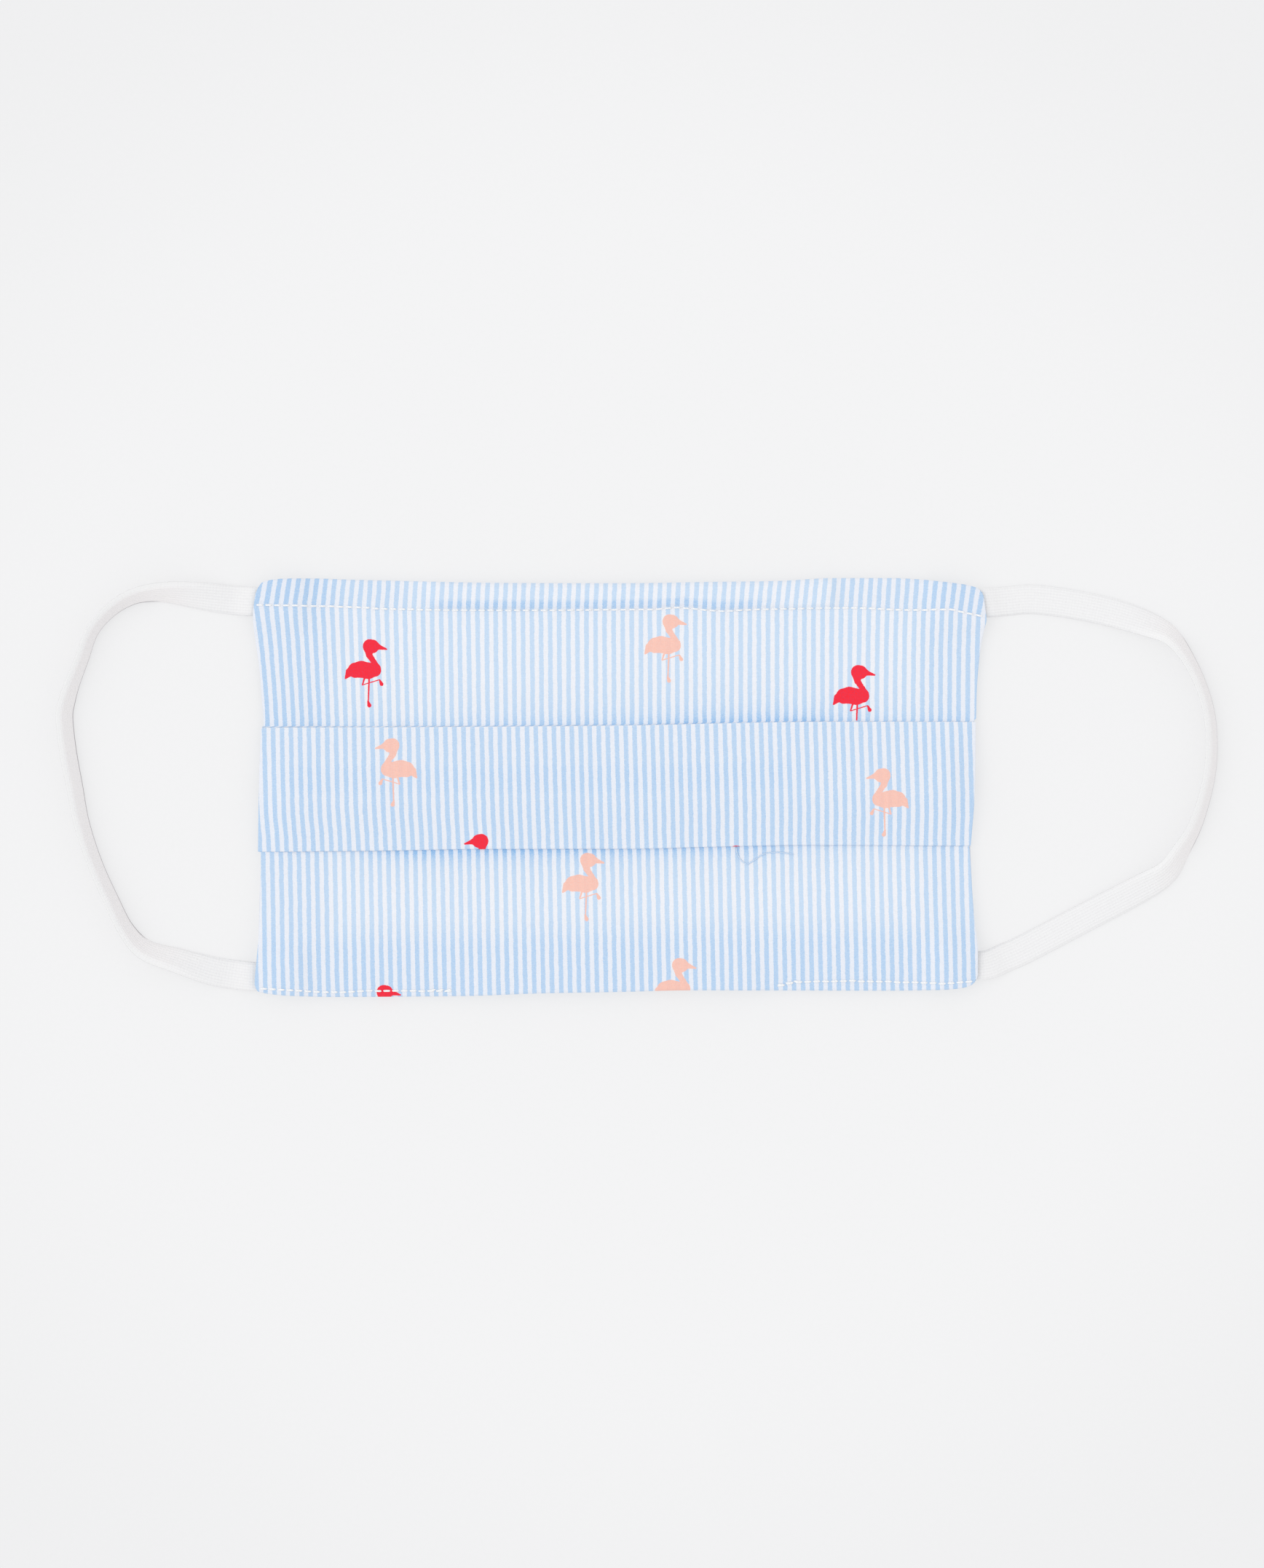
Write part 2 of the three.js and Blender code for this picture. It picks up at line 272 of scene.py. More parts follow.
# creases: panel, pixel, depth, width, the height where they start and the run they deepen in
CREASES = [
    ("nose", (432, 957), 0.34, 1.7, 34, -14),
    ("nose", (560, 940), 0.2, 3.2, 36, -14),
    ("chin", (1137, 1230), 0.2, 1.4, -40, 8),
]


# waves: height, size and seed, and on the middle panel long ones as well
WAVES = [(0.16, 17.0, 0.0), (0.07, 6.0, 3.1)]
MIDDLE_WAVE = (0.1, 8.0, 7.7)
MIDDLE_STRETCH = 0.35


def relief(x, y, panel):
    """Faint waves and creases left by handling."""
    high = sum(height * bump_noise(x, y, size, seed) for height, size, seed in WAVES)
    if panel == "middle":
        height, size, seed = MIDDLE_WAVE
        high += height * bump_noise(x, y * MIDDLE_STRETCH, size, seed)
    for creased, pixel, depth, width, start, run in CREASES:
        if panel == creased:
            high -= depth * hump(x, place(*pixel)[0], width) * soft((y - start) / run)
    return high


class Folding:
    """Rows of a folded sheet, each a panel, a height up the face and a level."""

    def __init__(self, panel, y, z):
        self.rows = [(panel, y, z)]

    def run(self, panel, y, z, count):
        _, y0, z0 = self.rows[-1]
        for k in range(1, count + 1):
            self.rows.append((panel, mix(y0, y, k / count), mix(z0, z, soft(k / count))))

    def turn(self, panel, y, start, end, way, count):
        """A half turn from one level to another, bulging towards way."""
        for k in range(count + 1):
            a = math.pi * k / count
            z = mix(LEVEL[start], LEVEL[end], (1 - math.cos(a)) / 2)
            self.rows.append((panel, y + way * BEND * math.sin(a), z))

    def steps(self, panel, heights, z):
        self.rows += [(panel, y, z) for y in heights]


def lay_hem_and_chin(sheet, line):
    chin = line["chin"]
    sheet.run("hem", chin + EDGE + 0.5, LEVEL[0], 6)
    sheet.turn("chin", chin + EDGE, 0, 1, -1, 8)
    seam_steps = [line["chin_seam"] + off + 0.35 for off in (-0.3, 0.0, 0.3, 0.6, 1.0)]
    sheet.steps("chin", seam_steps, LEVEL[1])
    sheet.run("chin", chin + HEM - 3, LEVEL[1], 10)
    sheet.run("chin", chin + HEM - 1.5, LEVEL[1], 2)
    sheet.run("chin", chin + HEM + 8, LEVEL[0], 10)
    sheet.run("chin", line["lower"] - 1.5, LEVEL[0], 12)
    sheet.run("chin", line["lower"] + 0.6, LEVEL[0], 5)


def lay_middle(sheet, line):
    lower, upper = line["lower"], line["upper"]
    sheet.run("under", lower + LOWER_TUCK - EDGE - 0.3, LEVEL[0], 3)
    sheet.turn("tuck", lower + LOWER_TUCK - EDGE, 0, 1, 1, 6)
    sheet.run("tuck", lower + EDGE + 0.3, LEVEL[1], 3)
    sheet.turn("middle", lower + EDGE, 1, 2, -1, 8)
    sheet.run("middle", lower + 4, LEVEL[2], 5)
    sheet.run("middle", lower + LOWER_TUCK - 1, LEVEL[2], 7)
    sheet.run("middle", mix(lower + LOWER_TUCK, upper - UPPER_TUCK, 0.5), LEVEL[2] - 0.4, 4)
    sheet.run("middle", upper - UPPER_TUCK + 1, LEVEL[2], 4)
    sheet.run("middle", upper - 4, LEVEL[2], 7)
    sheet.run("middle", upper - EDGE - 0.3, LEVEL[2], 4)
    sheet.turn("middle", upper - EDGE, 2, 1, 1, 8)
    sheet.run("tuck", upper - UPPER_TUCK + EDGE + 0.3, LEVEL[1], 3)
    sheet.turn("tuck", upper - UPPER_TUCK + EDGE, 1, 0, -1, 6)


def lay_nose(sheet, line):
    sheet.run("under", line["upper"] - 0.6, LEVEL[0], 3)
    sheet.run("nose", line["upper"] + 3.5, LEVEL[0], 8)
    sheet.run("nose", line["seam"] - 1.4, LEVEL[0], 18)
    seam_steps = [line["seam"] + off for off in (-0.9, -0.55, -0.25, 0.0, 0.25, 0.55, 0.9, 1.3)]
    sheet.steps("nose", seam_steps, LEVEL[0])
    sheet.run("nose", line["nose"] - 1.5, LEVEL[0], 8)
    sheet.steps("nose", [line["nose"] - down for down in (1.1, 0.75, PLY / 2)], LEVEL[0])


def front_rows(line):
    """From the hem inside the chin edge to the nose edge."""
    sheet = Folding("chin", line["chin"] + HEM, LEVEL[0])
    lay_hem_and_chin(sheet, line)
    lay_middle(sheet, line)
    lay_nose(sheet, line)
    return sheet.rows


BACK_ROW_COUNT = 34
BACK_INSET = 0.35              # from the outer ply's edge to the back ply's


def back_rows(line):
    """A flat ply, with its rows close together at the chin and nose edges."""
    low = line["chin"] + BACK_INSET + PLY / 2
    high = line["nose"] - BACK_INSET - PLY / 2
    turns = [math.pi * k / BACK_ROW_COUNT for k in range(BACK_ROW_COUNT + 1)]
    return [("back", mix(low, high, 0.5 - 0.5 * math.cos(a)), WALL / 2) for a in turns]


TUCK_INSET = 0.004             # share of the half width by which hidden rows stay inside


def sides_of(panel, y, line):
    """Left and right end of a row, as shares of the half width."""
    def ends(table, start, end):
        t = (y - line[start]) / (line[end] - line[start])
        return look_up(table, t, 1), look_up(table, t, 2)

    if panel == "back":
        return ends(BACK_SIDES, "chin", "nose")
    if panel in ("chin", "hem") and y < line["lower"]:
        return ends(CHIN_SIDES, "lower", "chin")
    if panel == "nose" and y > line["upper"]:
        return ends(NOSE_SIDES, "upper", "nose")
    left, right = ends(MIDDLE_SIDES, "lower", "upper")
    inset = 0.0 if panel == "middle" else TUCK_INSET
    return left + inset, right - inset


# The print. Stripes keep near to upright lines, but each panel lies a little
# shifted and leaning, and at the left seam the cloth is drawn in. The shifts are
# millimetres to the right, as the stripes lie in the photograph.
STRIPE_PITCH = 2.189
STRIPE_START = 0.119
LONG_REACH = 28                # millimetres in which a drawn-in stretch eases
SHORT_REACH = 6


def middle_shift(x, y):
    shift = -0.46 - 0.0276 * y - 0.0057 * x + 0.5 * math.exp(-(x + HALF_W) / LONG_REACH)
    shift -= 0.0042 * x * soft((-5 - y) / 8)
    return shift + 0.38 * hump(x, -30, 30)


def chin_shift(x, y):
    return -1.41 - 0.022 * (y + 32) - 0.0188 * x


def nose_shift(x, y, line):
    shift = 0.8 - 0.0045 * x
    from_left = x + HALF_W
    drawn_in = math.exp(-from_left / SHORT_REACH)
    right_part = 0.33 * soft((x - 45) / 20)
    if y < line["seam"]:
        t = (y - line["upper"]) / (line["seam"] - line["upper"])
        shift += 2.45 * (1 - t) * math.exp(-from_left / LONG_REACH)
        shift -= (0.8 * t * t + 0.5 * math.exp(-t / 0.1)) * drawn_in
        return shift + right_part * t**3
    t = (y - line["seam"]) / (line["nose"] - line["seam"])
    shift += (1 - t) * (right_part - 0.8 * drawn_in)
    left_end = 1.6 * math.exp(-from_left / 15) - 1.9 * drawn_in
    right_end = 0.4 * soft((x - 10) / 30) + 0.8 * math.exp(-(HALF_W - x) / 12)
    return shift + t * (0.3 + left_end + right_end)


def print_shift(panel, x, y, line):
    if panel == "middle":
        return middle_shift(x, y)
    if panel in ("chin", "hem"):
        return chin_shift(x, y)
    if panel == "nose":
        return nose_shift(x, y, line)
    return 0.0


# birds: panel, pixel of the middle, way it looks, red or pink
RED, PINK = 1.0, 0.0
BIRDS = [
    ("nose", (502, 925), 1, RED), ("nose", (913, 891), 1, PINK), ("nose", (1171.5, 960.5), 1, RED),
    ("middle", (546, 1061), -1, PINK), ("middle", (1219, 1102), -1, PINK),
    ("middle", (668, 1192), -1, RED), ("middle", (1004, 1208), 1, RED),
    ("chin", (800, 1218), 1, PINK), ("chin", (521, 1399), 1, RED), ("chin", (926, 1362), 1, PINK),
]
BACK_COLUMNS = (440, 660, 880, 1100)
BACK_ROWS = (948, 1096, 1244)
BACK_STAGGER = 37
BACK_BIRDS = [
    ("back", (x + BACK_STAGGER * (row % 2), y), 1 if row % 2 else -1, float(column % 2))
    for row, y in enumerate(BACK_ROWS) for column, x in enumerate(BACK_COLUMNS)
]


# half the width and height in which a bird is looked for, in millimetres
BIRD_REACH = (6.5, 9.5)


def nearest_bird(panel, x, y):
    best = None
    for bird in BACK_BIRDS if panel == "back" else BIRDS:
        if bird[0] != panel:
            continue
        bx, by = place(*bird[1])
        far = max(abs(x - bx) / BIRD_REACH[0], abs(y - by) / BIRD_REACH[1])
        if best is None or far < best[0]:
            best = (far, bx, by, bird[2], bird[3])
    return best


# how deep the painted shade lies next to the folds: share of the half width, above the upper
# fold, below the lower fold
FOLD_SHADE = [
    (-1, 0.7, 0.3), (-0.76, 0.8, 0.4), (-0.66, 0.8, 1.8), (-0.5, 1.0, 3.0), (-0.28, 1.5, 2.8),
    (0, 1.7, 2.1), (0.2, 2.2, 1.9), (0.35, 2.5, 2.0), (0.5, 2.4, 1.0), (0.65, 1.4, 0.5),
    (1, 0.6, 0.3),
]


# pixels between which the cloth is darker just above the seam, under the wire
WIRE_SHADE_PIXELS = (598, 1046)
ABOVE_FOLD_FADE = 2.5          # millimetres in which the shade next to a fold fades
BELOW_FOLD_FADE = 1.9
MIDDLE_DEPTH = 0.6             # depth of colour of the middle and of the back
BACK_DEPTH = 0.4


def middle_depth(x, y, line, allowance):
    """A little deeper over the lower tuck, with painted shade where the panel sags between the tucks.
    """
    # painted light: along the edge of the upper fold the colour is made lighter, down to below 0
    if y > line["upper"] - 3:
        return MIDDLE_DEPTH - 1.1 * soft((y - line["upper"] + 0.9) / 0.7)
    lower_end, upper_end = line["lower"] + LOWER_TUCK, line["upper"] - UPPER_TUCK
    sag_shade = window(y, lower_end + 0.2, upper_end + 2.4, 2.2) * window(x, -80, 42, 8)
    over_tuck = soft((lower_end - y) / 3)
    return MIDDLE_DEPTH + 0.14 * over_tuck + 0.1 * allowance + 0.32 * sag_shade


def chin_depth(x, y, line, allowance):
    """Deeper over the hem, with painted shade below the lower fold."""
    hem = (0.85 - 0.5 * allowance) * soft((line["chin"] + HEM - y) / 8 + 0.5)
    below = max(0.0, line["lower"] - y)
    return hem + look_up(FOLD_SHADE, x / HALF_W, 2) * math.exp(-below / BELOW_FOLD_FADE)


def nose_depth(x, y, line):
    """Deeper at the ends of the casing and just above the seam under the wire, with painted shade
    above the upper fold.
    """
    casing = (0.4 * soft((abs(x) - 48) / 8) - 0.03) * soft((y - line["seam"]) / 0.5 + 0.5)
    above = max(0.0, y - line["upper"])
    fold = look_up(FOLD_SHADE, x / HALF_W, 1) * math.exp(-above / ABOVE_FOLD_FADE)
    wire_left, wire_right = (place(pixel, 0)[0] for pixel in WIRE_SHADE_PIXELS)
    wire = window(x, wire_left, wire_right, 10) * window(y - line["seam"], 0.3, 2.2, 1.0)
    return casing + fold + 1.4 * wire


def ply_and_shade_depth(panel, x, y, line):
    """More cloth underneath gives a deeper colour: 0 for one ply, 1 for three, more in a fold,
    with painted shade next to the folds, and painted light makes the edge of the upper fold a little
    lighter: below 0."""
    allowance = soft((-67 - x) / 6) + soft((x - 70) / 6)
    if panel == "middle":
        return middle_depth(x, y, line, allowance)
    # seam allowances at the sides, and painted shade over the creased left of the nose panel
    at_sides = 0.5 * allowance + 0.3 * soft((-62 - x) / 10) * soft((y - 10) / 10)
    if panel == "chin":
        return min(MOST_DEPTH, at_sides + chin_depth(x, y, line, allowance))
    if panel == "nose":
        return min(MOST_DEPTH, at_sides + nose_depth(x, y, line))
    return BACK_DEPTH


def stations(step):
    """Shares across the body, close together at the rounded side edges."""
    edge = [-1 + inset / HALF_W for inset in (0.0, 0.1, 0.25, 0.5, 0.85)]
    count = round((BODY_WIDTH - 2.6) / step)
    inner = [mix(-1 + 1.3 / HALF_W, 1 - 1.3 / HALF_W, k / count) for k in range(count + 1)]
    return edge + inner + [-u for u in reversed(edge)]


# how a ply is drawn: the nose edge rolls down, the side edges are thin and round
NOSE_ROLL = 0.34
NOSE_ROLL_WIDTH = 1.1
LEAST_HEIGHT = WALL + PLY / 2 - 0.06
SIDE_THICKNESS = 0.3
SIDE_ROUNDING = 0.55
THINNING = 0.9                 # share of the ply that pressing takes away
END_ANGLES = [math.radians(a) for a in (60, 20, -20, -60)]


def raised(x, y, z, panel, line, squeezed):
    """Middle of an outer ply: its level, pressed down, over what lies under it."""
    high = LEVEL[0] + (z - LEVEL[0]) * (1 - squeezed)
    if panel != "tuck":
        high += lift_at(x, y, line)
    if panel in ("nose", "chin", "middle"):
        high += relief(x, y, panel) - sewn_groove(x, y, line)
    if panel == "nose":
        high -= NOSE_ROLL * soft((NOSE_ROLL_WIDTH - line["nose"] + y) / NOSE_ROLL_WIDTH)
    return max(high, LEAST_HEIGHT)


def middle_of_ply(rows, u, line, lifted):
    """The middle of the ply in one cross section: points, each with its panel and thickness."""
    from_side = (1 - abs(u)) * HALF_W
    thick = PLY * mix(SIDE_THICKNESS, 1.0, math.sqrt(min(1.0, from_side / SIDE_ROUNDING)))
    seam_press = SIDE_PRESS * soft((SIDE_PRESS_REACH - from_side) / SIDE_PRESS_REACH)
    middle = []
    for panel, y, z in rows:
        left, right = sides_of(panel, y, line)
        x = mix(left, right, (u + 1) / 2) * HALF_W
        squeezed = 0.0
        if lifted:
            squeezed = 1 - (1 - pressed_at(y, line)) * (1 - seam_press)
            z = raised(x, y, z, panel, line, squeezed)
        middle.append((Vector((x, y, z)), panel, thick * (1 - THINNING * squeezed)))
    return middle


def ring_round(middle):
    """Points round the ply: upper face, last end, lower face, first end."""
    last = len(middle) - 1
    ways, steps = [], []
    for k, (_, _, thick) in enumerate(middle):
        a, b = middle[max(0, k - 1)][0], middle[min(last, k + 1)][0]
        way = Vector((0, b.y - a.y, b.z - a.z)).normalized()
        ways.append(way * thick / 2)
        steps.append(Vector((0, -way.z, way.y)) * thick / 2)

    def rounded_end(k, side):
        point, panel, _ = middle[k]
        return [
            (point + (steps[k] * math.sin(a) + ways[k] * math.cos(a)) * side, panel)
            for a in END_ANGLES
        ]

    upper = [(point + step, panel) for (point, panel, _), step in zip(middle, steps)]
    lower = [(point - step, panel) for (point, panel, _), step in zip(middle, steps)]
    return upper + rounded_end(last, 1) + lower[::-1] + rounded_end(0, -1)


def sheet_faces(rings, count):
    """Quads from ring to ring, and both side edges closed. A ring has count points a face."""
    faces = []
    size = len(rings[0])
    for a, b in zip(rings, rings[1:]):
        for k in range(size):
            n = (k + 1) % size
            faces.append((a[k], b[k], b[n], a[n]))
    for ring, way in ((rings[0], 1), (rings[-1], -1)):
        caps = [
            (ring[k], ring[k + 1], ring[2 * count + 2 - k], ring[2 * count + 3 - k])
            for k in range(count - 1)
        ]
        caps.append(tuple(ring[count - 1 + k] for k in range(6)))
        caps.append(tuple(ring[(2 * count + 3 + k) % size] for k in range(6)))
        faces += [cap[::way] for cap in caps]
    return faces


def mesh_piece(name, verts, faces):
    """A smooth piece from points in millimetres."""
    mesh = bpy.data.meshes.new(name)
    mesh.from_pydata([v * MM for v in verts], [], faces)
    mesh.polygons.foreach_set("use_smooth", [True] * len(mesh.polygons))
    piece = bpy.data.objects.new(name, mesh)
    bpy.context.scene.collection.objects.link(piece)
    return piece


def cloth_sheet(name, rows_of, step, lifted):
    """A closed ply: a ring of points round each cross section, joined across."""
    verts, kinds, rings = [], [], []
    for u in stations(step):
        line = lines_at(u)
        middle = middle_of_ply(rows_of(line), u, line, lifted)
        ring = ring_round(middle)
        rings.append([len(verts) + k for k in range(len(ring))])
        verts += [point for point, _ in ring]
        kinds += [(panel, point.x, point.y, line) for point, panel in ring]
    piece = mesh_piece(name, verts, sheet_faces(rings, len(middle)))
    write_print(piece.data, verts, kinds)
    return piece


NO_BIRD = (50.0, 50.0)         # a place far away from the bird, in its own millimetres


def write_print(mesh, verts, kinds):
    """Cloth coordinates, place on the nearest bird, and ink and depth, per corner."""
    shifts = [x - print_shift(panel, x, y, line) for panel, x, y, line in kinds]
    depths = [ply_and_shade_depth(panel, x, y, line) for panel, x, y, line in kinds]
    cloth_uv, bird_uv, tone_uv = [], [], []
    for face in mesh.polygons:
        middle = sum((verts[v] for v in face.vertices), Vector()) / len(face.vertices)
        found = nearest_bird(kinds[face.vertices[0]][0], middle.x, middle.y)
        for v in face.vertices:
            ink, on_bird = PINK, NO_BIRD
            if found:
                _, bx, by, way, ink = found
                on_bird = ((verts[v].x - bx) * way, verts[v].y - by)
            cloth_uv += [shifts[v], verts[v].y]
            bird_uv += on_bird
            tone_uv += [ink, depths[v]]
    for name, values in (("cloth", cloth_uv), ("bird", bird_uv), ("tone", tone_uv)):
        mesh.uv_layers.new(name=name).data.foreach_set("uv", values)


# the bands: share of the reach outward, share of the half height, lean in degrees
LEFT_BAND = [
    (0.1, 0.901, 3), (0.2, 0.91, 12), (0.297, 0.92, 25), (0.473, 0.934, 50),
    (0.604, 0.922, 62), (0.7, 0.884, 68), (0.785, 0.822, 72), (0.854, 0.74, 73),
    (0.902, 0.62, 71), (0.952, 0.5, 68), (0.979, 0.42, 64), (0.994, 0.34, 62),
    (0.976, 0.182, 62), (0.94, 0.007, 64), (0.903, -0.168, 66), (0.834, -0.36, 67),
    (0.748, -0.536, 66), (0.67, -0.676, 63), (0.57, -0.772, 50), (0.396, -0.826, 34),
    (0.231, -0.874, 14), (0.12, -0.894, 4),
]
RIGHT_BAND = [
    (0.1, 0.897, 0), (0.225, 0.906, 0), (0.403, 0.882, 4), (0.57, 0.844, 10),
    (0.724, 0.791, 28), (0.824, 0.735, 48), (0.901, 0.626, 62), (0.965, 0.48, 66),
    (1, 0.332, 66), (1.007, 0.164, 66), (0.988, 0.007, 65), (0.94, -0.168, 62),
    (0.875, -0.301, 52), (0.805, -0.413, 34), (0.676, -0.496, 14), (0.45, -0.623, 4),
    (0.2, -0.765, 0), (0.1, -0.814, 0),
]


CURVE_STEPS = 12               # points between two of a route
BAND_STEPS = 260
BAND_THICK = 1.0
SEAM_EXIT = 0.8                # how far outside the seam a band is still flat


def curve_through(points):
    """Catmull-Rom through points that hold x, y, z and a lean."""
    fine = []
    for k in range(len(points) - 1):
        quad = [points[min(len(points) - 1, max(0, k + j))] for j in (-1, 0, 1, 2)]
        for j in range(CURVE_STEPS):
            t = j / CURVE_STEPS
            fine.append(tuple(
                0.5 * (2 * b + (c - a) * t + (2 * a - 5 * b + 4 * c - d) * t**2
                       + (3 * b - a - 3 * c + d) * t**3)
                for a, b, c, d in zip(*quad)
            ))
    fine.append(points[-1])
    return fine


def smooth_route(points, count):
    """The curve through the points, cut into even steps, and its length."""
    fine = curve_through(points)
    run = [0.0]
    for a, b in zip(fine, fine[1:]):
        run.append(run[-1] + math.dist(a[:3], b[:3]))
    out, k = [], 0
    for j in range(count + 1):
        want = run[-1] * j / count
        while k < len(run) - 2 and run[k + 1] < want:
            k += 1
        t = (want - run[k]) / max(1e-9, run[k + 1] - run[k])
        out.append(tuple(mix(a, b, t) for a, b in zip(fine[k], fine[k + 1])))
    return out, run[-1]


def band_section(width, thick):
    """A flat knitted band: its face is rounded down to the edges of a flat underside."""
    half, edge = width / 2, thick / 2
    top = []
    for k in range(21):
        across = -math.cos(math.pi * k / 20)
        fat = math.sqrt(max(0.0, 1 - abs(across) ** 6))
        top.append((across * half, edge * (2 * fat - 1)))
    under = [(half * mix(1, -1, k / 8), -edge) for k in range(1, 8)]
    return top + under


def band_route(side, reach, table, ends):
    """Middle line of a band with its lean, from one sewn end to the other."""
    seat = WALL + GAP + ELASTIC_THICK / 2
    insets = (TUCK_IN, TUCK_IN / 2, -SEAM_EXIT)

    def sewn(inset, height):
        return side * (HALF_W - inset), height * HALF_H, seat, 0.0

    points = [sewn(inset, ends[0]) for inset in insets]
    for out, height, lean in table:
        a = math.radians(lean)
        rest = ELASTIC_WIDTH / 2 * math.sin(a) + ELASTIC_THICK / 2 * math.cos(a)
        points.append((side * (HALF_W + out * reach), height * HALF_H, rest + CLEARANCE, a))
    points += [sewn(inset, ends[1]) for inset in reversed(insets)]
    return smooth_route(points, BAND_STEPS)


def band_axes(route, j):
    """Directions across the band and through it, at one step of its route."""
    a, b = route[max(0, j - 1)], route[min(len(route) - 1, j + 1)]
    lean = route[j][3]
    up = Vector((0, 0, 1))
    ahead = Vector((b[0] - a[0], b[1] - a[1], 0)).normalized()
    out = ahead.cross(up).normalized()
    wide = out * math.cos(lean) + up * math.sin(lean)
    thick = up * math.cos(lean) - out * math.sin(lean)
    return wide, thick


def tube_faces(base, rings, sides):
    """Quads between rings of points that follow each other, and both ends closed."""
    faces = []
    for k in range(rings - 1):
        a = base + k * sides
        b = a + sides
        for s in range(sides):
            n = (s + 1) % sides
            faces.append((a + s, a + n, b + n, b + s))
    last = base + (rings - 1) * sides
    faces.append(tuple(base + s for s in reversed(range(sides))))
    faces.append(tuple(last + s for s in range(sides)))
    return faces


def ear_loop(name, side, reach, table, ends, shade_from):
    route, length = band_route(side, reach, table, ends)
    section = band_section(ELASTIC_WIDTH, BAND_THICK)
    verts, on_band, leans = [], [], []
    for j, (x, y, z, lean) in enumerate(route):
        wide, thick = band_axes(route, j)
        for p, q in section:
            verts.append(Vector((x, y, z)) + wide * p + thick * q)
            on_band.append((p, j / (len(route) - 1) * length))
            leans.append((lean, shade_from))
    piece = mesh_piece(name, verts, tube_faces(0, len(route), len(section)))
    for layer_name, values in (("cloth", on_band), ("lean", leans)):
        corners = [c for face in piece.data.polygons for v in face.vertices for c in values[v]]
        piece.data.uv_layers.new(name=layer_name).data.foreach_set("uv", corners)
    return piece


THREAD_TAPER = 0.45            # share of the radius at the ends of a thread


def tube_mesh(name, runs, radius, sides=8):
    """One mesh of round threads, each run a list of points."""
    verts, faces = [], []
    for run in runs:
        faces += tube_faces(len(verts), len(run), sides)
        last = len(run) - 1
        for k, here in enumerate(run):
            ahead = (run[min(last, k + 1)] - run[max(0, k - 1)]).normalized()
            out = ahead.cross(Vector((0, 0, 1))).normalized()
            over = out.cross(ahead).normalized()
            end = THREAD_TAPER if k in (0, last) else 1.0
            for s in range(sides):
                a = 2 * math.pi * s / sides
                verts.append(here + (out * math.cos(a) + over * math.sin(a)) * radius * end)
    return mesh_piece(name, verts, faces)


def surface_of(piece):
    """A function that gives the height of a piece's upper face at a place."""
    tree = BVHTree.FromObject(piece, bpy.context.evaluated_depsgraph_get())

    def top(x, y):
        hit = tree.ray_cast(Vector((x, y, 20)) * MM, Vector((0, 0, -1)))
        return hit[0].z / MM if hit[0] else 0.0

    return top


STITCH = 2.13                  # length of one stitch with its hole
STITCH_THREAD = 0.25           # radius of the sewing thread
LOOSE_THREAD = 0.13
LOOSE_STEPS = 60
LOOSE_RISE = 0.12
# how far an arch of thread rises over the cloth, and how far its ends dip below that
STITCH_ARCH = (0.14, 0.3)
BACKTACK_ARCH = (0.17, 0.26)
STITCH_POINTS = 7
BACKTACK_POINTS = 6
BACKTACK_LENGTH = 1.7


def arch(top, places, rise, dip):
    """A thread over the cloth that dips into it at both ends."""
    last = len(places) - 1
    return [
        Vector((x, y, top(x, y) + rise - dip * (2 * j / last - 1) ** 6))
        for j, (x, y) in enumerate(places)
    ]


def stitch_runs(top, seam, start, end, wander):
    """The stitches of a line, each a short arch."""
    runs = []
    count = round((end - start) / STITCH)
    for k in range(count):
        a = mix(start, end, (k + 0.1) / count)
        b = mix(start, end, (k + 0.9) / count)
        places = []
        for j in range(STITCH_POINTS):
            t = j / (STITCH_POINTS - 1)
            x = mix(a, b, t)
            off = wander * bump_noise(k * 1.7, t * 0.3, 1.0, 5.0)
            places.append((x, lines_at(x / HALF_W)[seam] + off))
        runs.append(arch(top, places, *STITCH_ARCH))
    return runs


def backtack_runs(top, x_end, way):
    """The line goes back over itself at the end of a seam."""
    runs = []
    for k in range(3):
        a = x_end + way * (0.3 + 1.9 * k)
        places = []
        for j in range(BACKTACK_POINTS):
            t = j / (BACKTACK_POINTS - 1)
            x = a + way * BACKTACK_LENGTH * t
            places.append((x, lines_at(x / HALF_W)["chin_seam"] + 0.35 - 0.5 * t))
        runs.append(arch(top, places, *BACKTACK_ARCH))
    return runs


# materials
def new_material(name):
    material = bpy.data.materials.new(name)
    material.use_nodes = True
    tree = material.node_tree
    tree.nodes.clear()
    return material, tree


